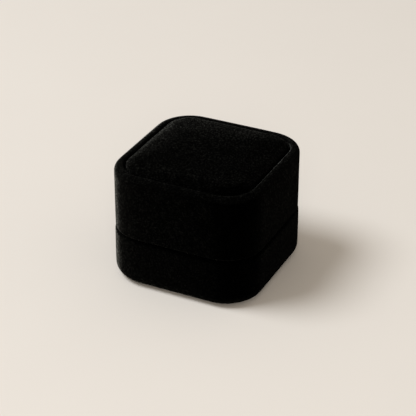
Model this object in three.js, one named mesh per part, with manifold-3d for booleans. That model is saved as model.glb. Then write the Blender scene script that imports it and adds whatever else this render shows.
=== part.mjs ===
// A square, round-cornered velvet ring box with a lift-off lid, in millimetres, +Z up.
// The origin is the centre of the underside. The front is -Y, and the ring slot runs along X.
//
// The base is a moulded tray wrapped in velvet. A velvet-covered collar stands up inside it, and the
// lid slides down over that collar. Two velvet-covered foam pads stand in the collar, and a ring's
// band goes into the slot between them. The lid is a moulded cap wrapped in velvet: its rim stands
// proud round a recess, and a padded velvet panel fills the recess. Inside, the lid has a wall lining
// and a padded satin ceiling.
import * as THREE from "three";
import { mergeVertices } from "three/addons/utils/BufferGeometryUtils.js";
import Module from "manifold-3d";

const wasm = await Module();
wasm.setup();

// Driving dimensions
const BASE_HALF = 28.5; // half of the base's outer width, velvet included
const LID_STEP = 0.25; // the lid is this much narrower than the base on each side
const LID_HALF = BASE_HALF - LID_STEP;
const CORNER_RADIUS = 14; // of the base's outer outline, seen from above
const BASE_TOP = 19.2; // the base's velvet edge, where the lid comes down
const LID_BOTTOM = 19.5; // the lid's lower edge when closed
const LID_HEIGHT = 24.2; // from the lid's lower edge to the top of its rim
const FOOT_ROUND = 4.2; // rounding of the base's lower edge
const RIM_WIDTH = 3.45; // of the lid's rim, velvet included

const VELVET = 0.9; // velvet on its backing
const TURNED_VELVET = 0.8; // the same velvet pulled thin over the rim, the collar and the ring pads
const GLUE = 0.1; // glue line between bonded layers
const LAYER_GAP = 0.2; // fitting gap between loose layers
const CARD = 0.9; // grey board
const SATIN = 0.4;

const CORNER_POINTS = 7; // points on each corner of a square outline
const FILLET_STEPS = 3; // segments in each rounding of a profile
const ROUNDEST = 0.35; // smallest corner radius of an outline, as a share of its half width

// Base heights, from the underside up
const FELT_TOP = 0.5;
const BOTTOM_BOARD_Z = FELT_TOP + GLUE;
const HEM_Z = BOTTOM_BOARD_Z + CARD + GLUE; // underside of the velvet turned under the tray
const TRAY_Z = HEM_Z + VELVET; // underside of the tray
const TRAY_FLOOR = 1.5;
const TRAY_INSIDE_Z = TRAY_Z + TRAY_FLOOR;
const WRAP_LIFT = 0.15; // the wrap's lowest line stands this far off the table
const INSERT_BOARD_Z = TRAY_INSIDE_Z + GLUE;
const PAD_Z = INSERT_BOARD_Z + CARD + GLUE;
const PAD_TOP = 24.2;
const COLLAR_TOP = 25.3;

// Base half widths, from the outside in
const TRAY_HALF = BASE_HALF - VELVET - GLUE;
const TRAY_WALL = 2.2;
const BASE_OPENING_HALF = TRAY_HALF - TRAY_WALL - GLUE - VELVET;
const BOTTOM_PANEL_HALF = 23.6;
const COLLAR_HALF = BASE_OPENING_HALF - LAYER_GAP; // outer face of the collar's velvet
const COLLAR_WALL = 1.2;
const COLLAR_CORE_HALF = COLLAR_HALF - TURNED_VELVET - GLUE;
const COLLAR_INSIDE_HALF = COLLAR_CORE_HALF - COLLAR_WALL - GLUE - TURNED_VELVET;
const PAD_HALF = COLLAR_INSIDE_HALF - LAYER_GAP;
const SLOT_HALF = 2.2; // half of the ring slot's width
const PAD_ROUND = 4; // rounding along the top edges of a ring pad

// Lid heights, from the lid's own lower edge up
const CEILING_TOP = 17.6;
const PLATE = 1.6; // thickness of the plate between the ceiling and the panel
const PLATE_Z = CEILING_TOP + GLUE;
const PLATE_TOP = PLATE_Z + PLATE;
const PANEL_Z = PLATE_TOP + GLUE + TURNED_VELVET + GLUE; // above the velvet hem glued to the plate
const PANEL_EDGE = 23.9; // where the panel's side ends and its dome starts
const PANEL_CROWN = 27.2; // crest of the panel at its centre
const CEILING_CREST = 14.1; // lowest point of the padded ceiling
const LID_TURN_IN = 5; // how far the wrap is turned up inside the lid's lower edge

// Lid half widths
const LID_CORE_HALF = LID_HALF - VELVET - GLUE;
const LID_WALL = 1.8;
const LINER_HALF = LID_CORE_HALF - LID_WALL - GLUE;
const LID_INSIDE_HALF = LINER_HALF - VELVET;
const RIM_INSIDE_HALF = LID_HALF - RIM_WIDTH;
const PANEL_HALF = RIM_INSIDE_HALF - 0.5;
const PANEL_VELVET = 0.7;
const CEILING_HALF = LID_INSIDE_HALF - LAYER_GAP;

const MATERIALS = {
  velvet: { color: 0x0b0b0b, roughness: 1, metalness: 0 },
  plastic: { color: 0x161616, roughness: 0.6, metalness: 0 },
  board: { color: 0x6b6862, roughness: 0.95, metalness: 0 },
  foam: { color: 0x2b2b2c, roughness: 1, metalness: 0 },
  satin: { color: 0x0e0e0f, roughness: 0.35, metalness: 0 },
  felt: { color: 0x101010, roughness: 1, metalness: 0 },
};

// Points of a profile given as [half width, height, rounding]. A closed profile rounds every corner
// that has a rounding; an open one starts and ends on the axis.
function filleted(corners, closed) {
  const points = [];
  corners.forEach(([half, height, rounding = 0], i) => {
    const here = new THREE.Vector2(half, height);
    if (!rounding || (!closed && (i === 0 || i === corners.length - 1))) {
      points.push(here);
      return;
    }
    const before = new THREE.Vector2(...corners.at(i - 1).slice(0, 2));
    const after = new THREE.Vector2(...corners[(i + 1) % corners.length].slice(0, 2));
    const back = before.sub(here).normalize();
    const ahead = after.sub(here).normalize();
    const turn = Math.acos(back.dot(ahead)) / 2;
    const reach = rounding / Math.tan(turn);
    const middle = back.clone().add(ahead).normalize().multiplyScalar(rounding / Math.sin(turn)).add(here);
    const from = back.multiplyScalar(reach).add(here).sub(middle);
    const to = ahead.multiplyScalar(reach).add(here).sub(middle);
    for (let k = 0; k <= FILLET_STEPS; k++) {
      const share = k / FILLET_STEPS;
      points.push(from.clone().lerp(to, share).setLength(rounding).add(middle));
    }
  });
  if (closed) points.push(points[0].clone());
  return points;
}

// The outline of that half width, anticlockwise: a square whose corners are concentric with the
// base's own, or rounder near the middle.
function squareOutline(half) {
  const radius = Math.max(half - (BASE_HALF - CORNER_RADIUS), ROUNDEST * half);
  const flat = half - radius;
  const outline = [];
  for (let corner = 0; corner < 4; corner++) {
    const start = (corner * Math.PI) / 2;
    const centre = new THREE.Vector2(flat, flat).rotateAround(new THREE.Vector2(), start);
    for (let k = 0; k < CORNER_POINTS; k++) {
      const angle = start + ((k / (CORNER_POINTS - 1)) * Math.PI) / 2;
      outline.push(new THREE.Vector2(Math.cos(angle), Math.sin(angle)).multiplyScalar(radius).add(centre));
    }
  }
  return outline;
}

// A lathe whose rings are square: each ring of a LatheGeometry is laid on the square outline of the
// same half width. Profiles run anticlockwise, with the half width to the right and height up.
function squareLathe(corners, closed = false) {
  const profile = filleted(corners, closed);
  const rings = profile.map((p) => squareOutline(p.x));
  const sides = 4 * CORNER_POINTS;
  const geometry = new THREE.LatheGeometry(profile, sides);
  const position = geometry.getAttribute("position");
  for (let side = 0; side <= sides; side++) {
    profile.forEach((p, j) => {
      const { x, y } = rings[j][side % sides];
      position.setXYZ(side * profile.length + j, x, y, p.y);
    });
  }
  return geometry;
}

function toSolid(geometry) {
  const bare = geometry.index ? geometry.toNonIndexed() : geometry.clone();
  bare.deleteAttribute("normal");
  bare.deleteAttribute("uv");
  const merged = mergeVertices(bare);
  return new wasm.Manifold(
    new wasm.Mesh({
      numProp: 3,
      vertProperties: merged.attributes.position.array,
      triVerts: new Uint32Array(merged.index.array),
    }),
  );
}

function toGeometry(solid) {
  const mesh = solid.getMesh();
  const geometry = new THREE.BufferGeometry();
  geometry.setAttribute("position", new THREE.BufferAttribute(mesh.vertProperties, 3));
  geometry.setIndex(new THREE.BufferAttribute(mesh.triVerts, 1));
  return geometry;
}

function piece(name, material, geometry, height = 0) {
  const made = new THREE.Mesh(geometry, new THREE.MeshStandardMaterial(MATERIALS[material]));
  made.name = name;
  made.position.z = height;
  return made;
}

function flatPanel(half, thickness) {
  return squareLathe([
    [0, 0],
    [half, 0],
    [half, thickness],
    [0, thickness],
  ]);
}

// Moulded tray: the stiff core of the base.
function baseTray() {
  const inside = TRAY_HALF - TRAY_WALL;
  const top = BASE_TOP - VELVET - GLUE;
  return squareLathe([
    [0, TRAY_Z],
    [TRAY_HALF, TRAY_Z, FOOT_ROUND - VELVET - GLUE],
    [TRAY_HALF, top],
    [inside, top],
    [inside, TRAY_INSIDE_Z],
    [0, TRAY_INSIDE_Z],
  ]);
}

// Velvet round the base: over its top edge into the inside, and under its lower edge to a hem.
function baseWrap() {
  const inner = BASE_HALF - VELVET;
  const turnedIn = BASE_OPENING_HALF + VELVET;
  const turnInEnd = 12;
  const hemEnd = 19.5;
  const panelEdge = BOTTOM_PANEL_HALF + 0.3;
  const edgeRound = 0.8;
  return squareLathe(
    [
      [BASE_HALF, WRAP_LIFT, FOOT_ROUND],
      [BASE_HALF, BASE_TOP, edgeRound],
      [BASE_OPENING_HALF, BASE_TOP, edgeRound],
      [BASE_OPENING_HALF, turnInEnd],
      [turnedIn, turnInEnd],
      [turnedIn, BASE_TOP - VELVET],
      [inner, BASE_TOP - VELVET],
      [inner, TRAY_Z - GLUE, FOOT_ROUND - VELVET],
      [hemEnd, TRAY_Z - GLUE],
      [hemEnd, HEM_Z],
      [panelEdge, HEM_Z],
      [panelEdge, WRAP_LIFT],
    ],
    true,
  );
}

function collarCore() {
  const inside = COLLAR_CORE_HALF - COLLAR_WALL;
  const top = COLLAR_TOP - TURNED_VELVET - GLUE;
  return squareLathe(
    [
      [COLLAR_CORE_HALF, TRAY_INSIDE_Z + GLUE],
      [COLLAR_CORE_HALF, top],
      [inside, top],
      [inside, TRAY_INSIDE_Z + GLUE],
    ],
    true,
  );
}

// Velvet over the collar's top edge, glued down both of its faces.
function collarWrap() {
  const outerEnd = 6;
  const innerEnd = 8;
  const edgeRound = 0.9;
  const outer = COLLAR_HALF - TURNED_VELVET;
  const inner = COLLAR_INSIDE_HALF + TURNED_VELVET;
  return squareLathe(
    [
      [COLLAR_HALF, outerEnd],
      [COLLAR_HALF, COLLAR_TOP, edgeRound],
      [COLLAR_INSIDE_HALF, COLLAR_TOP, edgeRound],
      [COLLAR_INSIDE_HALF, innerEnd],
      [inner, innerEnd],
      [inner, COLLAR_TOP - TURNED_VELVET],
      [outer, COLLAR_TOP - TURNED_VELVET],
      [outer, outerEnd],
    ],
    true,
  );
}

// A block with rounded top edges, in the plane of its section, extruded to a depth both ways.
function roundedBlock(left, right, bottom, top, round, depth) {
  const section = new THREE.Shape();
  section.moveTo(left, bottom);
  section.lineTo(right, bottom);
  section.lineTo(right, top - round);
  section.absarc(right - round, top - round, round, 0, Math.PI / 2, false);
  section.lineTo(left + round, top);
  section.absarc(left + round, top - round, round, Math.PI / 2, Math.PI, false);
  section.closePath();
  const block = new THREE.ExtrudeGeometry(section, {
    depth: 2 * depth,
    bevelEnabled: false,
    curveSegments: 4,
  });
  block.translate(0, 0, -depth);
  return block;
}

// The rear ring pad, taken in by shrink on every side but its underside: rounded along its top
// edges, and round at the two corners that stand in the collar's corners.
function padSolid(shrink, bottom) {
  const far = PAD_HALF - shrink;
  const near = SLOT_HALF + shrink;
  const top = PAD_TOP - shrink;
  const round = PAD_ROUND - shrink;
  const along = roundedBlock(-far, -near, bottom, top, round, far);
  along.rotateX(Math.PI / 2);
  along.rotateZ(-Math.PI / 2);
  const across = roundedBlock(-far, far, bottom, top, round, far);
  across.rotateX(Math.PI / 2);
  const plan = new THREE.ExtrudeGeometry(new THREE.Shape(squareOutline(far)), {
    depth: top,
    bevelEnabled: false,
  });
  return toSolid(along).intersect(toSolid(across)).intersect(toSolid(plan));
}

function padFoam() {
  return toGeometry(padSolid(TURNED_VELVET + GLUE, PAD_Z));
}

// The velvet over a ring pad, open underneath.
function padCover() {
  return toGeometry(padSolid(0, PAD_Z).subtract(padSolid(TURNED_VELVET, PAD_Z - 1)));
}

// Velvet strip on the floor of the ring slot.
function slotStrip() {
  const length = 39;
  const thickness = 0.5;
  const strip = new THREE.BoxGeometry(length, 2 * (SLOT_HALF - LAYER_GAP), thickness);
  strip.translate(0, 0, thickness / 2);
  return strip;
}

// Moulded cap: the stiff core of the lid, with the rim standing above the plate.
function lidCap() {
  const inside = LID_CORE_HALF - LID_WALL;
  const rimInside = RIM_INSIDE_HALF + TURNED_VELVET + GLUE;
  const rimTop = LID_HEIGHT - TURNED_VELVET - GLUE;
  return squareLathe([
    [0, PLATE_Z],
    [inside, PLATE_Z],
    [inside, VELVET + GLUE],
    [LID_CORE_HALF, VELVET + GLUE],
    [LID_CORE_HALF, rimTop],
    [rimInside, rimTop],
    [rimInside, PLATE_TOP],
    [0, PLATE_TOP],
  ]);
}

// Velvet round the lid: over the rim and into the recess, and turned up inside the lower edge.
function lidWrap() {
  const inner = LID_HALF - VELVET;
  const rimTurn = RIM_INSIDE_HALF + TURNED_VELVET;
  const hemEnd = 20.5;
  const hemBottom = PLATE_TOP + GLUE;
  const hemTop = PANEL_Z - GLUE;
  const rimRound = 1.3;
  const edgeRound = 0.8;
  return squareLathe(
    [
      [LID_HALF, 0, edgeRound],
      [LID_HALF, LID_HEIGHT, rimRound],
      [RIM_INSIDE_HALF, LID_HEIGHT, edgeRound],
      [RIM_INSIDE_HALF, hemTop],
      [hemEnd, hemTop],
      [hemEnd, hemBottom],
      [rimTurn, hemBottom],
      [rimTurn, LID_HEIGHT - TURNED_VELVET],
      [inner, LID_HEIGHT - TURNED_VELVET],
      [inner, VELVET],
      [LINER_HALF, VELVET],
      [LINER_HALF, LID_TURN_IN],
      [LID_INSIDE_HALF, LID_TURN_IN],
      [LID_INSIDE_HALF, 0, edgeRound],
    ],
    true,
  );
}

function lidWallLining() {
  const bottom = LID_TURN_IN + GLUE;
  return squareLathe(
    [
      [LINER_HALF, bottom],
      [LINER_HALF, CEILING_TOP],
      [LID_INSIDE_HALF, CEILING_TOP],
      [LID_INSIDE_HALF, bottom],
    ],
    true,
  );
}

// The crowned line over the top panel, taken in by shrink, from its edge to its centre.
function panelCrown(shrink) {
  return [
    [PANEL_HALF - shrink, PANEL_EDGE],
    [PANEL_HALF - 0.6 - shrink, PANEL_EDGE + 0.85 - 0.6 * shrink],
    [PANEL_HALF - 1.9 - shrink / 2, PANEL_EDGE + 1.6 - shrink],
    [PANEL_HALF - 6, PANEL_CROWN - 0.75 - shrink],
    [0, PANEL_CROWN - shrink],
  ];
}

function panelFoam() {
  const shrink = PANEL_VELVET + GLUE;
  return squareLathe([
    [0, PANEL_Z + CARD + GLUE],
    [PANEL_HALF - shrink, PANEL_Z + CARD + GLUE],
    ...panelCrown(shrink),
  ]);
}

// Velvet over the top panel, open underneath, where its board closes it.
function panelCover() {
  return squareLathe([
    ...panelCrown(PANEL_VELVET).reverse(),
    [PANEL_HALF - PANEL_VELVET, PANEL_Z],
    [PANEL_HALF, PANEL_Z],
    ...panelCrown(0),
  ]);
}

// The padded ceiling's line, taken in by shrink, from its centre to its edge.
function ceilingSag(shrink) {
  return [
    [0, CEILING_CREST + shrink],
    [CEILING_HALF - 7, CEILING_CREST + 0.2 + shrink],
    [CEILING_HALF - 2.2, CEILING_CREST + 0.7 + shrink],
    [CEILING_HALF - shrink, CEILING_CREST + 2.2 + shrink / 2],
  ];
}

function ceilingFoam() {
  const shrink = SATIN + GLUE;
  const top = CEILING_TOP - CARD - GLUE;
  return squareLathe([...ceilingSag(shrink), [CEILING_HALF - shrink, top], [0, top]]);
}

// Satin over the ceiling pad, open on top, where its board closes it.
function ceilingSatin() {
  return squareLathe([
    ...ceilingSag(0),
    [CEILING_HALF, CEILING_TOP],
    [CEILING_HALF - SATIN, CEILING_TOP],
    ...ceilingSag(SATIN).reverse(),
  ]);
}

function baseGroup() {
  const base = new THREE.Group();
  const insertBoardHalf = COLLAR_CORE_HALF - COLLAR_WALL - LAYER_GAP;
  const frontPads = new THREE.Group();
  frontPads.rotation.z = Math.PI;
  frontPads.add(piece("front_pad_foam", "foam", padFoam()), piece("front_pad_cover", "velvet", padCover()));
  base.add(
    piece("bottom_felt", "felt", flatPanel(BOTTOM_PANEL_HALF, FELT_TOP)),
    piece("bottom_board", "board", flatPanel(BOTTOM_PANEL_HALF, CARD), BOTTOM_BOARD_Z),
    piece("base_tray", "plastic", baseTray()),
    piece("base_velvet", "velvet", baseWrap()),
    piece("collar_core", "board", collarCore()),
    piece("collar_velvet", "velvet", collarWrap()),
    piece("insert_board", "board", flatPanel(insertBoardHalf, CARD), INSERT_BOARD_Z),
    piece("slot_strip", "velvet", slotStrip(), PAD_Z),
    piece("rear_pad_foam", "foam", padFoam()),
    piece("rear_pad_cover", "velvet", padCover()),
    frontPads,
  );
  return base;
}

function lidGroup() {
  const lid = new THREE.Group();
  lid.position.z = LID_BOTTOM;
  const panelBoardHalf = PANEL_HALF - PANEL_VELVET - GLUE;
  const ceilingBoardHalf = CEILING_HALF - SATIN - GLUE;
  lid.add(
    piece("lid_cap", "plastic", lidCap()),
    piece("lid_velvet", "velvet", lidWrap()),
    piece("lid_wall_lining", "velvet", lidWallLining()),
    piece("panel_board", "board", flatPanel(panelBoardHalf, CARD), PANEL_Z),
    piece("panel_foam", "foam", panelFoam()),
    piece("panel_velvet", "velvet", panelCover()),
    piece("ceiling_board", "board", flatPanel(ceilingBoardHalf, CARD), CEILING_TOP - CARD),
    piece("ceiling_foam", "foam", ceilingFoam()),
    piece("ceiling_satin", "satin", ceilingSatin()),
  );
  return lid;
}

const ringBox = new THREE.Group();
ringBox.add(baseGroup(), lidGroup());

export default ringBox;
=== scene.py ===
"""The looks of a velvet ring box with a lift-off lid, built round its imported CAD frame, in metres.

The velvet wraps, the collar, the ring pads, the lid's top panel and its padded satin ceiling are remade
here as cloth. The tray, the cap, the boards and the foams keep their CAD shapes and get a finish.
"""

import math

import bmesh
import bpy
import numpy as np
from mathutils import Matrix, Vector, noise


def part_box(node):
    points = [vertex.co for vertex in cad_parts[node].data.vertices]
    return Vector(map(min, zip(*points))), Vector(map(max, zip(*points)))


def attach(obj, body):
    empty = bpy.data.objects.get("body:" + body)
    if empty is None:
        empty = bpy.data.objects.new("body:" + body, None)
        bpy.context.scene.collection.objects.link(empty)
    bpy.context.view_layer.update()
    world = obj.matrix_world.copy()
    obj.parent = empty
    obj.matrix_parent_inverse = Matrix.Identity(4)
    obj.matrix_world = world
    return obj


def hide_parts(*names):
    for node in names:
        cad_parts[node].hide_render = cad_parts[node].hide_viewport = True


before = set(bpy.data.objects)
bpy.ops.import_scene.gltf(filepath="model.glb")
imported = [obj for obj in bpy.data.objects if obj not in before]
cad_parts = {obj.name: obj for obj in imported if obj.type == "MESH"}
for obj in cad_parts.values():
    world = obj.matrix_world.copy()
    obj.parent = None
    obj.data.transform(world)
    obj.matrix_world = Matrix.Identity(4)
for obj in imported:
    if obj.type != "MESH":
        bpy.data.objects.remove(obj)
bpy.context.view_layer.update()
noise.seed_set(1)  # unseeded, its pattern follows the clock

MM = 0.001

# Heights and half widths that the frame gives
BASE_LOW, BASE_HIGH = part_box("base_velvet")
LID_LOW, LID_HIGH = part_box("lid_velvet")
COLLAR_LOW, COLLAR_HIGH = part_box("collar_velvet")
LINING_LOW, LINING_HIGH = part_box("lid_wall_lining")
PANEL_LOW, PANEL_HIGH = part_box("panel_velvet")
CEILING_LOW, CEILING_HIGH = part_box("ceiling_satin")
BASE_HALF = BASE_HIGH.x
LID_HALF = LID_HIGH.x
COLLAR_HALF = COLLAR_HIGH.x
LINING_HALF = LINING_HIGH.x
PANEL_HALF = PANEL_HIGH.x
CEILING_HALF = CEILING_HIGH.x
PAD_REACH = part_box("rear_pad_cover")[1].y

# The cloth. Its edges are rounded a little differently from the plain CAD solids.
CORNER_RADIUS = 14 * MM  # of the base's outer outline, seen from above
ROUNDEST = 0.35  # smallest corner radius of an outline, as a share of its half width
VELVET = 0.9 * MM
THIN_VELVET = 0.8 * MM
FOOT_ROUND = 4.2 * MM
EDGE_ROUND = 0.85 * MM
SEAM_ROUND = 1.3 * MM  # of the base's edge at the seam
LID_EDGE_ROUND = 0.55 * MM
RIM_ROUND = 2.3 * MM
RIM_INNER_ROUND = 0.8 * MM
RIM_GAP = 0.5 * MM  # between the top panel and the rim
FIT_GAP = 0.2 * MM
BASE_TURN_IN_END = 12 * MM  # height at which the base's velvet ends inside
BASE_HEM_TOP = 2.4 * MM
BASE_HEM_REACH = 19.5 * MM  # half width of the opening in the velvet turned under the base
LID_TURN_IN = 5 * MM
LID_HEM_REACH = 20.5 * MM  # half width of the opening in the velvet turned under the panel

CORNER_STEPS = 16  # faces round each corner of a wrap
SIDE_STEPS = 20  # faces along each side of a wrap
PROFILE_STEP = 0.9 * MM  # longest face down a wrap's profile
FILLET_STEPS = 6
PAD_RINGS = 24  # rings of faces from the middle of a square pad to its edge
PAD_FLATNESS = 3.5  # of a square pad's middle: a higher number spreads it further
PAD_FULLNESS = 1.8  # of a square pad's shoulders: a higher number makes them squarer

SIM_SCALE = 20  # cloth is simulated at twenty times its size, where Blender's cloth is steady
SIM_FRAMES = 20


# --- Shapes -----------------------------------------------------------------------------------------


def corner_radius(half):
    """The corner radius of an outline of that half width: concentric with the base's own."""
    return max(half - (BASE_HALF - CORNER_RADIUS), ROUNDEST * half)


def outline(half, corner_steps=CORNER_STEPS, side_steps=SIDE_STEPS):
    """A rounded square of that half width as an array of points, anticlockwise."""
    radius = corner_radius(half)
    flat = half - radius
    points = []
    for corner in range(4):
        turn = corner * math.pi / 2
        quarter = [
            (flat + radius * math.cos(a), flat + radius * math.sin(a))
            for a in np.linspace(0, math.pi / 2, corner_steps + 1)
        ]
        quarter += [(flat - 2 * flat * k / side_steps, half) for k in range(1, side_steps)]
        points += [
            (x * math.cos(turn) - y * math.sin(turn), x * math.sin(turn) + y * math.cos(turn))
            for x, y in quarter
        ]
    return np.array(points)


def even_outline(half, count):
    """The same rounded square as count points at even steps, starting on a diagonal."""
    corner_steps = 32
    fine = np.roll(outline(half, corner_steps, 1), -corner_steps // 2, axis=0)
    loop = np.vstack([fine, fine[:1]])
    along = np.concatenate([[0], np.cumsum(np.linalg.norm(np.diff(loop, axis=0), axis=1))])
    steps = np.linspace(0, along[-1], count, endpoint=False)
    return np.column_stack([np.interp(steps, along, loop[:, k]) for k in (0, 1)])


def fillet(before, here, after, radius):
    """Points of an arc of that radius that rounds the corner at here."""
    back = (before - here).normalized()
    ahead = (after - here).normalized()
    half_angle = math.acos(max(-1, min(1, back.dot(ahead)))) / 2
    middle = here + (back + ahead).normalized() * radius / math.sin(half_angle)
    start = here + back * radius / math.tan(half_angle) - middle
    end = here + ahead * radius / math.tan(half_angle) - middle
    shares = [k / FILLET_STEPS for k in range(FILLET_STEPS + 1)]
    return [middle + start.lerp(end, s).normalized() * radius for s in shares]


def closed_profile(corners):
    """A closed profile of (half width, height) points from corners of (half width, height, rounding)."""
    places = [Vector(corner[:2]) for corner in corners]
    rough = []
    for i, corner in enumerate(corners):
        after = places[(i + 1) % len(places)]
        rounding = corner[2] if len(corner) > 2 else 0
        rough += fillet(places[i - 1], places[i], after, rounding) if rounding else [places[i]]
    points = []
    for here, after in zip(rough, rough[1:] + rough[:1]):
        parts = max(1, math.ceil((after - here).length / PROFILE_STEP))
        points += [here.lerp(after, k / parts) for k in range(parts)]
    return points


def new_piece(name, vertices, faces):
    mesh = bpy.data.meshes.new(name)
    mesh.from_pydata([tuple(v) for v in vertices], [], faces)
    mesh.update()
    mesh.polygons.foreach_set("use_smooth", [True] * len(mesh.polygons))
    piece = bpy.data.objects.new(name, mesh)
    bpy.context.scene.collection.objects.link(piece)
    return piece


def ring_faces(lower, upper, count):
    """Quads between two rings of count points, whose first points are numbered lower and upper."""
    return [
        (lower + k, lower + (k + 1) % count, upper + (k + 1) % count, upper + k)
        for k in range(count)
    ]


def square_wrap(name, corners):
    """Cloth all round a rounded square: its closed profile swept round the outline."""
    profile = closed_profile(corners)
    count = 4 * (CORNER_STEPS + SIDE_STEPS)
    vertices = np.vstack(
        [np.column_stack([outline(p.x), np.full(count, p.y)]) for p in profile]
    )
    rings = len(profile)
    faces = []
    for i in range(rings):
        faces += ring_faces(i * count, (i + 1) % rings * count, count)
    return new_piece(name, vertices, faces)


def square_cover(name, rings):
    """Cloth over a square pad. Its middle is a grid of square rings, laid on the first outlines in
    rings, which run outwards from the middle as (half width, height), and the last ones hang down.
    """
    count = 8 * PAD_RINGS
    vertices = [(0, 0, rings[0][1])]
    faces = []
    grid = {(0, 0): 0}
    for ring in range(1, PAD_RINGS + 1):
        half, height = rings[ring]
        corner = [(ring, ring), (-ring, ring), (-ring, -ring), (ring, -ring)]
        cells = []
        for (x0, y0), (x1, y1) in zip(corner, corner[1:] + corner[:1]):
            steps = range(2 * ring)
            cells += [
                (x0 + (x1 - x0) * k // (2 * ring), y0 + (y1 - y0) * k // (2 * ring)) for k in steps
            ]
        for cell, (x, y) in zip(cells, even_outline(half, 8 * ring)):
            grid[cell] = len(vertices)
            vertices.append((x, y, height))
    span = range(-PAD_RINGS, PAD_RINGS)
    for x in span:
        for y in span:
            faces.append((grid[x, y], grid[x + 1, y], grid[x + 1, y + 1], grid[x, y + 1]))
    start = len(vertices) - count
    for half, height in rings[PAD_RINGS + 1 :]:
        vertices += [(x, y, height) for x, y in even_outline(half, count)]
        faces += ring_faces(start + count, start, count)
        start += count
    return new_piece(name, vertices, faces)


def points_of(piece):
    points = np.empty(len(piece.data.vertices) * 3)
    piece.data.vertices.foreach_get("co", points)
    return points.reshape(-1, 3)


def move_points(piece, points):
    piece.data.vertices.foreach_set("co", points.ravel())
    piece.data.update()


def apply_modifiers(piece):
    graph = bpy.context.evaluated_depsgraph_get()
    finished = bpy.data.meshes.new_from_object(piece.evaluated_get(graph))
    piece.modifiers.clear()
    old = piece.data
    piece.data = finished
    bpy.data.meshes.remove(old)


def subdivide(piece):
    smooth = piece.modifiers.new("smooth", "SUBSURF")
    smooth.levels = smooth.render_levels = 1
    apply_modifiers(piece)


def thicken(piece, thickness):
    """Gives a cover its thickness, inwards."""
    solid = piece.modifiers.new("thickness", "SOLIDIFY")
    solid.thickness = thickness
    solid.offset = -1
    apply_modifiers(piece)


def wobble(piece, size, depth, seed):
    """Lays the cloth a little unevenly, in bumps of that size and depth."""
    points = points_of(piece)
    shift = Vector((seed, 2 * seed, 3 * seed))
    for i, place in enumerate(points):
        points[i] += np.array(noise.noise_vector(Vector(place) / size + shift)) * depth
    move_points(piece, points)


def puff(piece, pinned, pressure, cap, slack=0.0):
    """Swells a cover by cloth simulation. pinned says which points are glued down, slack is how much
    bigger the cloth is cut than the pad, and cap is the furthest that a point may move."""
    rest = points_of(piece)
    move_points(piece, rest * SIM_SCALE)
    held = piece.vertex_groups.new(name="held")
    held.add([i for i, point in enumerate(rest) if pinned(point)], 1.0, "REPLACE")
    cloth = piece.modifiers.new("cloth", "CLOTH")
    cloth.settings.quality = 6
    cloth.settings.vertex_group_mass = "held"
    cloth.settings.use_pressure = True
    cloth.settings.uniform_pressure_force = pressure
    cloth.settings.shrink_min = -slack
    cloth.settings.effector_weights.gravity = 0
    cloth.settings.bending_stiffness = 3
    cloth.collision_settings.use_collision = False
    cloth.point_cache.frame_end = SIM_FRAMES
    for step in range(1, SIM_FRAMES + 1):
        bpy.context.scene.frame_set(step)
    apply_modifiers(piece)
    bpy.context.scene.frame_set(1)
    moved = points_of(piece) / SIM_SCALE - rest
    far = np.linalg.norm(moved, axis=1, keepdims=True)
    move_points(piece, rest + moved * cap / np.maximum(far, cap))
    piece.vertex_groups.clear()


# --- Materials --------------------------------------------------------------------------------------


def add_node(tree, kind, options=None, **inputs):
    """A shader node. Each input is a value or another node's socket; _ in its name is a space."""
    made = tree.nodes.new("ShaderNode" + kind)
    for name, value in (options or {}).items():
        setattr(made, name, value)
    for name, value in inputs.items():
        socket = made.inputs[name.replace("_", " ")]
        if isinstance(value, bpy.types.NodeSocket):
            tree.links.new(value, socket)
        else:
            socket.default_value = value
    return made


def add_noise(tree, size, detail=2.0, distortion=0.0, stretch=(1, 1, 1)):
    """Noise with features of that size, in the piece's own coordinates."""
    place = add_node(tree, "TexCoord").outputs["Object"]
    mapped = add_node(tree, "Mapping", Vector=place, Scale=stretch).outputs["Vector"]
    made = add_node(
        tree, "TexNoise", Vector=mapped, Scale=1 / size, Detail=detail, Distortion=distortion
    )
    return made.outputs["Fac"]


def add_flecks(tree, spacing, radius):
    """Sparse round specks, such as lint: 1 on a speck and 0 between them."""
    place = add_node(tree, "TexCoord").outputs["Object"]
    cells = add_node(tree, "TexVoronoi", Vector=place, Scale=1 / spacing, Randomness=1.0)
    return ramp(tree, cells.outputs["Distance"], radius / spacing, 0.3 * radius / spacing)


def ramp(tree, value, low, high):
    """0 to 1 as value goes from low to high."""
    made = add_node(
        tree, "MapRange", {"interpolation_type": "SMOOTHSTEP"}, Value=value, From_Min=low, From_Max=high
    )
    return made.outputs["Result"]


def curve(tree, value, stops):
    """A grey that follows value through stops of (value, grey)."""
    made = add_node(tree, "ValToRGB")
    elements = made.color_ramp.elements
    while len(elements) < len(stops):
        elements.new(0.5)
    for element, (position, level) in zip(elements, stops):
        element.position = position
        element.color = grey(level)
    tree.links.new(value, made.inputs["Fac"])
    return made.outputs["Color"]


def scaled(tree, value, share, low, high):
    """value times low where share is 0, and times high where it is 1."""
    factor = add_node(tree, "MapRange", Value=share, To_Min=low, To_Max=high).outputs["Result"]
    made = add_node(tree, "Math", {"operation": "MULTIPLY"})
    tree.links.new(value, made.inputs[0])
    tree.links.new(factor, made.inputs[1])
    return made.outputs["Value"]


def added(tree, value, share, amount):
    """value plus that share of amount."""
    made = add_node(tree, "Math", {"operation": "MULTIPLY_ADD"})
    tree.links.new(share, made.inputs[0])
    made.inputs[1].default_value = amount
    tree.links.new(value, made.inputs[2])
    return made.outputs["Value"]


def mix(tree, share, first, second):
    """A colour between two, each a colour or a socket, by share."""
    made = add_node(tree, "Mix", {"data_type": "RGBA"})
    for index, value in ((0, share), (6, first), (7, second)):
        if isinstance(value, bpy.types.NodeSocket):
            tree.links.new(value, made.inputs[index])
        else:
            made.inputs[index].default_value = value
    return made.outputs[2]


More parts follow.
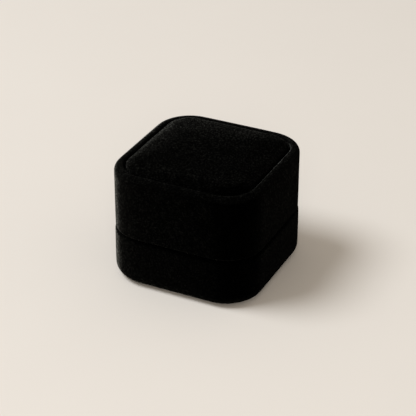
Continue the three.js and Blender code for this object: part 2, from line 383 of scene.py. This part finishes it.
def grey(value, warmth=0.0):
    """An opaque grey, a little redder and less blue as warmth grows."""
    return (value * (1 + warmth), value, value * (1 - warmth), 1)


def noise_range(tree, value, low, high):
    """low to high as value, a noise, goes from its usual least to its usual most."""
    made = add_node(
        tree, "MapRange", Value=value, From_Min=0.3, From_Max=0.7, To_Min=low, To_Max=high
    )
    return made.outputs["Result"]


def bump(tree, height, depth, strength=1.0, below=None):
    made = add_node(tree, "Bump", Height=height, Distance=depth, Strength=strength)
    if below:
        tree.links.new(below, made.inputs["Normal"])
    return made.outputs["Normal"]


def new_material(name):
    material = bpy.data.materials.new(name)
    material.use_nodes = True
    return material, material.node_tree, material.node_tree.nodes["Principled BSDF"]


def connect(tree, shader, **sockets):
    for name, socket in sockets.items():
        tree.links.new(socket, shader.inputs[name.replace("_", " ")])


# Painted sheen: how pale velvet pile is painted, from faced (0) to seen edge on (1): black, then dark,
# then its pale tips where light catches them
WRAP_PAINTED_SHEEN = [
    (0.0, 0.0001),
    (0.15, 0.0002),
    (0.25, 0.0006),
    (0.34, 0.0012),
    (0.40, 0.0019),
    (0.48, 0.0031),
    (0.58, 0.0030),
    (0.73, 0.0045),
    (0.85, 0.0155),
    (1.0, 0.12),
]
PANEL_PAINTED_SHEEN = [
    (0.0, 0.0001),
    (0.14, 0.0002),
    (0.24, 0.0012),
    (0.34, 0.0014),
    (0.50, 0.0009),
    (0.60, 0.0019),
    (0.72, 0.0048),
    (0.85, 0.0058),
    (1.0, 0.022),
]
SHEEN_SPLAY = 5.0  # how far the normal read by the painted sheen fans out from the middle of the box, per metre
VELVET_TINT = (1, 1.01, 0.92, 1)
SHEEN_TINT = (0.75, 0.75, 0.7, 1)


def sheen_leaning(tree, normal, sheen_lean):
    """The normal that the painted sheen reads: the normal fanned out from the middle of the box and
    leaned round it on upright faces, which paints one side of the box paler, as the key light from the
    left would. Its last argument is the tangent of the angle that it leans by."""
    fanned = add_node(tree, "VectorMath", {"operation": "MULTIPLY_ADD"})
    tree.links.new(add_node(tree, "TexCoord").outputs["Object"], fanned.inputs[0])
    fanned.inputs[1].default_value = (SHEEN_SPLAY, SHEEN_SPLAY, 0)
    tree.links.new(normal, fanned.inputs[2])
    sideways = add_node(tree, "VectorMath", {"operation": "CROSS_PRODUCT"})
    tree.links.new(normal, sideways.inputs[0])
    sideways.inputs[1].default_value = (0, 0, sheen_lean)
    total = add_node(tree, "VectorMath", {"operation": "ADD"})
    tree.links.new(fanned.outputs["Vector"], total.inputs[0])
    tree.links.new(sideways.outputs["Vector"], total.inputs[1])
    unit = add_node(tree, "VectorMath", {"operation": "NORMALIZE"})
    tree.links.new(total.outputs["Vector"], unit.inputs[0])
    return unit.outputs["Vector"]


def height_above(tree, low, high):
    """0 to 1 as the height in the piece's own coordinates goes from low to high."""
    place = add_node(tree, "TexCoord").outputs["Object"]
    height = add_node(tree, "SeparateXYZ", Vector=place).outputs["Z"]
    return ramp(tree, height, low, high)


def velvet(name, painted_sheen_curve, grain, sheen_lean, top_light_heights=None):
    """Black velvet: painted nearly black looked straight into, with a painted sheen of pale pile tips
    where it is seen at a slant, painted shade where two covered edges meet, and with tufts, brushed
    patches and specks of lint. grain multiplies the shade of the palest pile, and the pair of heights,
    if given, is where it is painted paler, a painted highlight of light falling from above."""
    material, tree, shader = new_material(name)
    pile = add_noise(tree, 0.55 * MM, detail=4)
    tufts = add_noise(tree, 1.3 * MM, detail=2, distortion=0.4)
    brushed = add_noise(tree, 9 * MM, detail=2, distortion=1.2)
    lint = add_flecks(tree, 1.5 * MM, 0.2 * MM)
    lie = bump(tree, brushed, 0.4 * MM, 0.25)
    clumps = bump(tree, tufts, 0.2 * MM, 0.4, lie)
    normal = bump(tree, pile, 0.2 * MM, 0.5, clumps)
    # Leaned and fanned so that the painted sheen paints one side of the box paler, standing in for the
    # key light from the left
    way = sheen_leaning(tree, normal, sheen_lean)
    slant = add_node(tree, "LayerWeight", Blend=0.5, Normal=way).outputs["Facing"]
    crevice_shade = add_node(tree, "AmbientOcclusion", {"samples": 6}, Distance=1.1 * MM).outputs["AO"]
    # Painted sheen: the pile is painted paler the more it is seen at a slant
    shade = curve(tree, slant, painted_sheen_curve)
    # Painted highlight: the rim's roll is painted paler between these heights, standing in for light
    # falling on it from above
    if top_light_heights:
        shade = added(tree, shade, height_above(tree, *top_light_heights), 0.0011)
    shade = scaled(tree, shade, ramp(tree, pile, 0.47, 0.68), 0.5, grain)
    shade = scaled(tree, shade, ramp(tree, tufts, 0.35, 0.7), 0.8, 1.25)
    shade = scaled(tree, shade, ramp(tree, brushed, 0.3, 0.7), 0.85, 1.15)
    shade = added(tree, scaled(tree, shade, lint, 1.0, 3.0), lint, 0.003)
    # Painted shade: ambient occlusion darkens the velvet in seams, gaps and under edges
    shade = scaled(tree, shade, ramp(tree, crevice_shade, 0.3, 0.75), 0.1, 1.0)
    colour = mix(tree, shade, grey(0), VELVET_TINT)
    connect(tree, shader, Base_Color=colour, Normal=normal)
    shader.inputs["Roughness"].default_value = 1.0
    shader.inputs["Specular IOR Level"].default_value = 0.0
    shader.inputs["Sheen Weight"].default_value = 0.0015
    shader.inputs["Sheen Roughness"].default_value = 0.3
    shader.inputs["Sheen Tint"].default_value = SHEEN_TINT
    return material


def satin(name):
    """Black satin: fine threads one way, so that its gloss is streaked."""
    material, tree, shader = new_material(name)
    threads = add_noise(tree, 0.25 * MM, detail=2, stretch=(0.06, 1, 1))
    cloudy = add_noise(tree, 6 * MM, detail=2)
    colour = mix(tree, ramp(tree, threads, 0.3, 0.7), grey(0.006), grey(0.02))
    connect(tree, shader, Base_Color=colour, Roughness=noise_range(tree, cloudy, 0.28, 0.42))
    connect(tree, shader, Normal=bump(tree, threads, 0.03 * MM, 0.5))
    shader.inputs["Sheen Weight"].default_value = 0.2
    shader.inputs["Specular IOR Level"].default_value = 0.45
    return material


def felt(name):
    """Pressed black felt: matted fibres with paler ones among them."""
    material, tree, shader = new_material(name)
    fibres = add_noise(tree, 0.5 * MM, detail=5, distortion=2.5)
    mat = add_noise(tree, 4 * MM, detail=2)
    colour = mix(tree, ramp(tree, fibres, 0.45, 0.75), grey(0.008), grey(0.045))
    colour = mix(tree, ramp(tree, mat, 0.4, 0.8), colour, grey(0.02))
    connect(tree, shader, Base_Color=colour, Normal=bump(tree, fibres, 0.2 * MM, 0.8))
    shader.inputs["Roughness"].default_value = 1.0
    shader.inputs["Sheen Weight"].default_value = 0.1
    return material


def foam(name):
    """Dark open-cell foam."""
    material, tree, shader = new_material(name)
    place = add_node(tree, "TexCoord").outputs["Object"]
    cells = add_node(tree, "TexVoronoi", Vector=place, Scale=1 / (0.5 * MM)).outputs["Distance"]
    colour = mix(tree, ramp(tree, cells, 0.1, 0.5), grey(0.02), grey(0.1))
    connect(tree, shader, Base_Color=colour, Normal=bump(tree, cells, 0.2 * MM))
    shader.inputs["Roughness"].default_value = 0.95
    return material


def plastic(name):
    """Black moulded plastic with a fine matt grain and flow marks."""
    material, tree, shader = new_material(name)
    grain = add_noise(tree, 0.3 * MM, detail=3)
    flow = add_noise(tree, 12 * MM, detail=2, distortion=1.5)
    colour = mix(tree, ramp(tree, flow, 0.3, 0.7), grey(0.02), grey(0.035))
    connect(tree, shader, Base_Color=colour, Roughness=noise_range(tree, grain, 0.5, 0.7))
    connect(tree, shader, Normal=bump(tree, grain, 0.04 * MM, 0.5))
    return material


def board(name):
    """Grey board of recycled pulp: flecked, with a soft fibrous face."""
    material, tree, shader = new_material(name)
    pulp = add_noise(tree, 0.7 * MM, detail=5, distortion=1.0)
    stain = add_noise(tree, 8 * MM, detail=2)
    flecks = add_flecks(tree, 1.2 * MM, 0.12 * MM)
    colour = mix(tree, ramp(tree, pulp, 0.3, 0.7), grey(0.24, 0.05), grey(0.34, 0.05))
    colour = mix(tree, ramp(tree, stain, 0.4, 0.8), colour, grey(0.27, 0.08))
    colour = mix(tree, flecks, colour, grey(0.08))
    connect(tree, shader, Base_Color=colour, Normal=bump(tree, pulp, 0.08 * MM, 0.5))
    shader.inputs["Roughness"].default_value = 0.95
    return material


def dress(piece, material):
    piece.data.materials.clear()
    piece.data.materials.append(material)


# --- Pieces -----------------------------------------------------------------------------------------


def fit_out(piece, body, material, node):
    """Gives a finished piece its material, its body and the CAD node that it stands for."""
    dress(piece, material)
    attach(piece, body)
    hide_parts(node)


def gather_foot(piece):
    """Small gathers where the velvet is turned under the base's corners."""
    folds = 44  # per turn
    lift = 0.1 * MM
    pinch = 0.0035  # of the distance from the middle
    points = points_of(piece)
    flat = BASE_HALF - CORNER_RADIUS
    for point in points:
        x, y = abs(point[0]) - flat, abs(point[1]) - flat
        if min(x, y) <= 0 or point[2] > FOOT_ROUND:
            continue
        angle = math.atan2(y, x)
        corner = math.sin(2 * angle) ** 2
        fold = math.sin(folds * angle) * corner * (1 - point[2] / FOOT_ROUND)
        point[2] += lift * (fold + corner) * (1 - point[2] / FOOT_ROUND)
        point[:2] *= 1 - pinch * (fold + 1) * corner * (1 - point[2] / FOOT_ROUND)
    move_points(piece, points)


def base_wrap(material):
    opening = COLLAR_HALF + FIT_GAP
    panel_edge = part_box("bottom_felt")[1].x + 0.3 * MM
    low, top = BASE_LOW.z, BASE_HIGH.z
    piece = square_wrap(
        "base_wrap",
        [
            (BASE_HALF, low, FOOT_ROUND),
            (BASE_HALF, top, SEAM_ROUND),
            (opening, top, EDGE_ROUND),
            (opening, BASE_TURN_IN_END),
            (opening + VELVET, BASE_TURN_IN_END),
            (opening + VELVET, top - VELVET),
            (BASE_HALF - VELVET, top - VELVET),
            (BASE_HALF - VELVET, BASE_HEM_TOP, FOOT_ROUND - VELVET),
            (BASE_HEM_REACH, BASE_HEM_TOP),
            (BASE_HEM_REACH, BASE_HEM_TOP - VELVET),
            (panel_edge, BASE_HEM_TOP - VELVET),
            (panel_edge, low),
        ],
    )
    gather_foot(piece)
    wobble(piece, size=11 * MM, depth=0.07 * MM, seed=1)
    subdivide(piece)
    fit_out(piece, "base", material, "base_velvet")


def collar_wrap(material):
    inside = PAD_REACH + FIT_GAP
    top, outer_end, inner_end = COLLAR_HIGH.z, COLLAR_LOW.z, COLLAR_LOW.z + 2 * MM
    piece = square_wrap(
        "collar_wrap",
        [
            (COLLAR_HALF, outer_end),
            (COLLAR_HALF, top, EDGE_ROUND),
            (inside, top, EDGE_ROUND),
            (inside, inner_end),
            (inside + THIN_VELVET, inner_end),
            (inside + THIN_VELVET, top - THIN_VELVET),
            (COLLAR_HALF - THIN_VELVET, top - THIN_VELVET),
            (COLLAR_HALF - THIN_VELVET, outer_end),
        ],
    )
    wobble(piece, size=9 * MM, depth=0.06 * MM, seed=2)
    subdivide(piece)
    fit_out(piece, "base", material, "collar_velvet")


def lid_wrap(material):
    rim_inside = PANEL_HALF + RIM_GAP
    rim_turn = rim_inside + THIN_VELVET
    inside = LINING_HALF - VELVET
    low, top = LID_LOW.z, LID_HIGH.z
    hem_top = PANEL_LOW.z - 0.1 * MM
    hem_low = hem_top - THIN_VELVET
    piece = square_wrap(
        "lid_wrap",
        [
            (LID_HALF, low, LID_EDGE_ROUND),
            (LID_HALF, top, RIM_ROUND),
            (rim_inside, top, RIM_INNER_ROUND),
            (rim_inside, hem_top),
            (LID_HEM_REACH, hem_top),
            (LID_HEM_REACH, hem_low),
            (rim_turn, hem_low),
            (rim_turn, top - THIN_VELVET),
            (LID_HALF - VELVET, top - THIN_VELVET),
            (LID_HALF - VELVET, low + VELVET),
            (LINING_HALF, low + VELVET),
            (LINING_HALF, low + LID_TURN_IN),
            (inside, low + LID_TURN_IN),
            (inside, low, EDGE_ROUND),
        ],
    )
    wobble(piece, size=12 * MM, depth=0.07 * MM, seed=3)
    subdivide(piece)
    fit_out(piece, "lid", material, "lid_velvet")


def wall_lining(material):
    inside = LINING_HALF - VELVET
    piece = square_wrap(
        "wall_lining",
        [
            (LINING_HALF, LINING_LOW.z),
            (LINING_HALF, LINING_HIGH.z),
            (inside, LINING_HIGH.z),
            (inside, LINING_LOW.z, 0.3 * MM),
        ],
    )
    wobble(piece, size=9 * MM, depth=0.05 * MM, seed=4)
    subdivide(piece)
    fit_out(piece, "lid", material, "lid_wall_lining")


def pad_rings(half, crest, edge, foot):
    """Rings for square_cover: domed from crest, in the middle, to edge, where it stands upright, and
    then straight to foot. The rings lie closer together towards the edge."""
    rings = []
    for k in range(PAD_RINGS + 1):
        share = math.sin(math.pi / 2 * k / PAD_RINGS)
        rise = (1 - min(share, 1) ** PAD_FLATNESS) ** (1 / PAD_FULLNESS)
        rings.append((half * share, edge + (crest - edge) * rise))
    parts = max(1, round(abs(edge - foot) / PROFILE_STEP))
    return rings + [(half, edge + (foot - edge) * k / parts) for k in range(1, parts + 1)]


def top_panel(material):
    """The padded panel in the lid's recess: domed, with softly rolled edges that stand above the rim."""
    edge = LID_HIGH.z - 0.3 * MM
    rings = pad_rings(PANEL_HALF, PANEL_HIGH.z, edge, PANEL_LOW.z)
    piece = square_cover("top_panel", rings)
    glued = PANEL_LOW.z + 2.2 * MM
    puff(piece, lambda point: point[2] < glued, pressure=2.0, cap=0.3 * MM)
    wobble(piece, size=14 * MM, depth=0.12 * MM, seed=5)
    thicken(piece, 0.55 * MM)
    subdivide(piece)
    fit_out(piece, "lid", material, "panel_velvet")


def ceiling_pad(material):
    """The satin pad over the ring, inside the lid, with slack cloth between its glued edges."""
    edge = CEILING_HIGH.z - 1.3 * MM
    rings = pad_rings(CEILING_HALF, CEILING_LOW.z, edge, CEILING_HIGH.z)
    piece = square_cover("ceiling_pad", rings)
    piece.data.flip_normals()
    glued = CEILING_HIGH.z - 1.2 * MM
    puff(piece, lambda point: point[2] > glued, pressure=2.0, cap=0.5 * MM, slack=0.03)
    thicken(piece, 0.25 * MM)
    subdivide(piece)
    fit_out(piece, "lid", material, "ceiling_satin")


def ring_pad(side, material):
    """One of the two pads that grip a ring: velvet over foam, open underneath."""
    node = f"{side}_pad_cover"
    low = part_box(node)[0]
    shape = bmesh.new()
    shape.from_mesh(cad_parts[node].data)
    hull = bmesh.ops.convex_hull(shape, input=shape.verts)
    bmesh.ops.delete(shape, geom=hull["geom_interior"], context="VERTS")
    mesh = bpy.data.meshes.new(f"{side}_ring_pad")
    shape.to_mesh(mesh)
    shape.free()
    piece = bpy.data.objects.new(f"{side}_ring_pad", mesh)
    bpy.context.scene.collection.objects.link(piece)
    remesh = piece.modifiers.new("even", "REMESH")
    remesh.mode = "VOXEL"
    remesh.voxel_size = 0.8 * MM
    remesh.use_smooth_shade = True
    soften = piece.modifiers.new("soften", "SMOOTH")
    soften.iterations = 4
    apply_modifiers(piece)
    glued = low.z + 4 * MM
    puff(piece, lambda point: point[2] < glued, pressure=1.5, cap=0.45 * MM)
    open_below(piece, low.z + 0.6 * MM)
    thicken(piece, 0.5 * MM)
    subdivide(piece)
    fit_out(piece, "base", material, node)


def open_below(piece, height):
    """Removes the faces of a cover's underside, below that height."""
    shape = bmesh.new()
    shape.from_mesh(piece.data)
    under = [f for f in shape.faces if f.calc_center_median().z < height and f.normal.z < -0.5]
    bmesh.ops.delete(shape, geom=under, context="FACES")
    shape.to_mesh(piece.data)
    shape.free()


def box_sheet(name, low, high, step):
    """A flat sheet of cloth with its thickness, as a fine grid, from one corner to the other."""
    columns = max(1, round((high.x - low.x) / step))
    rows = max(1, round((high.y - low.y) / step))
    xs = np.linspace(low.x, high.x, columns + 1)
    ys = np.linspace(low.y, high.y, rows + 1)
    vertices = [(x, y, high.z) for y in ys for x in xs]
    stride = columns + 1
    faces = [
        (i + j * stride, i + 1 + j * stride, i + 1 + (j + 1) * stride, i + (j + 1) * stride)
        for j in range(rows)
        for i in range(columns)
    ]
    piece = new_piece(name, vertices, faces)
    thicken(piece, high.z - low.z)
    return piece


def slot_floor(material):
    low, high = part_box("slot_strip")
    piece = box_sheet("slot_floor", low, high, 0.8 * MM)
    fit_out(piece, "base", material, "slot_strip")


def base_felt(material):
    """The felt under the base, with a slightly soft edge."""
    low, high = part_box("bottom_felt")
    half = high.x
    soft = 0.15 * MM
    margin = 4 * MM  # the felt's upper face is one big face inside this
    rings = [((half - soft) * k / PAD_RINGS, low.z) for k in range(PAD_RINGS + 1)]
    rings += [(half, low.z + soft), (half, high.z - soft)]
    rings += [(half - soft, high.z), (half - margin, high.z)]
    piece = square_cover("base_felt", rings)
    piece.data.flip_normals()
    close_holes(piece)
    fit_out(piece, "base", material, "bottom_felt")


def close_holes(piece):
    """Fills each open edge loop with a face."""
    shape = bmesh.new()
    shape.from_mesh(piece.data)
    bmesh.ops.holes_fill(shape, edges=[edge for edge in shape.edges if edge.is_boundary])
    shape.to_mesh(piece.data)
    shape.free()


def carried_over():
    """The CAD pieces that keep their shape, each with its finish."""
    finishes = [
        (plastic("moulded_plastic"), ["base_tray", "lid_cap"]),
        (
            board("grey_board"),
            ["bottom_board", "collar_core", "insert_board", "panel_board", "ceiling_board"],
        ),
        (foam("foam"), ["rear_pad_foam", "front_pad_foam", "panel_foam", "ceiling_foam"]),
    ]
    for material, nodes in finishes:
        for name in nodes:
            dress(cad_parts[name], material)


# --- Setting ----------------------------------------------------------------------------------------


def camera():
    """The view from the front and a little to the right, looking down, with a long lens."""
    azimuth, elevation = math.radians(25.96), math.radians(29.88)
    distance, rightward, upward = 9.72, 0.0006, 0.3305  # in box widths
    width = 2 * BASE_HALF
    back = Vector(
        (
            math.sin(azimuth) * math.cos(elevation),
            -math.cos(azimuth) * math.cos(elevation),
            math.sin(elevation),
        )
    )
    right = Vector((math.cos(azimuth), math.sin(azimuth), 0))
    up = back.cross(right)
    data = bpy.data.cameras.new("camera")
    data.lens = 129.5
    data.clip_start = 0.01
    made = bpy.data.objects.new("camera", data)
    made.location = (back * distance + right * rightward + up * upward) * width
    made.rotation_mode = "QUATERNION"
    made.rotation_quaternion = (-back).to_track_quat("-Z", "Y")
    bpy.context.scene.collection.objects.link(made)
    bpy.context.scene.camera = made


def floor():
    """A wide pale table top, with a faint unevenness."""
    reach = 3.0
    corners = [(-reach, -reach, 0), (reach, -reach, 0), (reach, reach, 0), (-reach, reach, 0)]
    piece = new_piece("floor", corners, [(0, 1, 2, 3)])
    material, tree, shader = new_material("table")
    clouds = add_noise(tree, 60 * MM, detail=3)
    colour = mix(tree, clouds, (0.79, 0.748, 0.697, 1), (0.81, 0.768, 0.717, 1))
    connect(tree, shader, Base_Color=colour)
    shader.inputs["Roughness"].default_value = 0.85
    shader.inputs["Specular IOR Level"].default_value = 0.1
    dress(piece, material)


def soft_light(name, place, target, size, power, colour):
    data = bpy.data.lights.new(name, "AREA")
    data.shape = "DISK"
    data.size = size
    data.energy = power
    data.color = colour
    made = bpy.data.objects.new(name, data)
    made.location = place
    made.rotation_mode = "QUATERNION"
    made.rotation_quaternion = (Vector(target) - Vector(place)).to_track_quat("-Z", "Y")
    bpy.context.scene.collection.objects.link(made)


def lights():
    """A big soft cool key light from high on the left, a weak warm one in front and a warm surround."""
    middle = (0, 0, 0.02)
    world = bpy.data.worlds.new("surround")
    world.use_nodes = True
    background = world.node_tree.nodes["Background"]
    background.inputs["Color"].default_value = (1.0, 0.905, 0.79, 1)
    background.inputs["Strength"].default_value = 0.395
    bpy.context.scene.world = world
    soft_light("key", (-0.98, -0.48, 1.68), middle, 1.0, 28, (0.93, 0.965, 1.0))
    soft_light("front", (0.6, -1.25, 0.85), middle, 0.6, 5.4, (1.0, 0.93, 0.84))
    bpy.context.scene.view_settings.view_transform = "Standard"


def main():
    # The rim's roll, painted paler between these heights as a painted highlight of light from above
    rim_roll = (LID_HIGH.z - RIM_ROUND, LID_HIGH.z - 0.8 * MM)
    outer = velvet("outer_velvet", WRAP_PAINTED_SHEEN, grain=2.4, sheen_lean=0.25, top_light_heights=rim_roll)
    lining = velvet("lining_velvet", WRAP_PAINTED_SHEEN, grain=2.6, sheen_lean=0.25)
    base_wrap(outer)
    lid_wrap(outer)
    top_panel(velvet("panel_velvet", PANEL_PAINTED_SHEEN, grain=4.4, sheen_lean=0.3))
    collar_wrap(lining)
    wall_lining(lining)
    ring_pad("rear", lining)
    ring_pad("front", lining)
    slot_floor(lining)
    ceiling_pad(satin("satin"))
    base_felt(felt("felt"))
    carried_over()
    camera()
    floor()
    lights()


main()
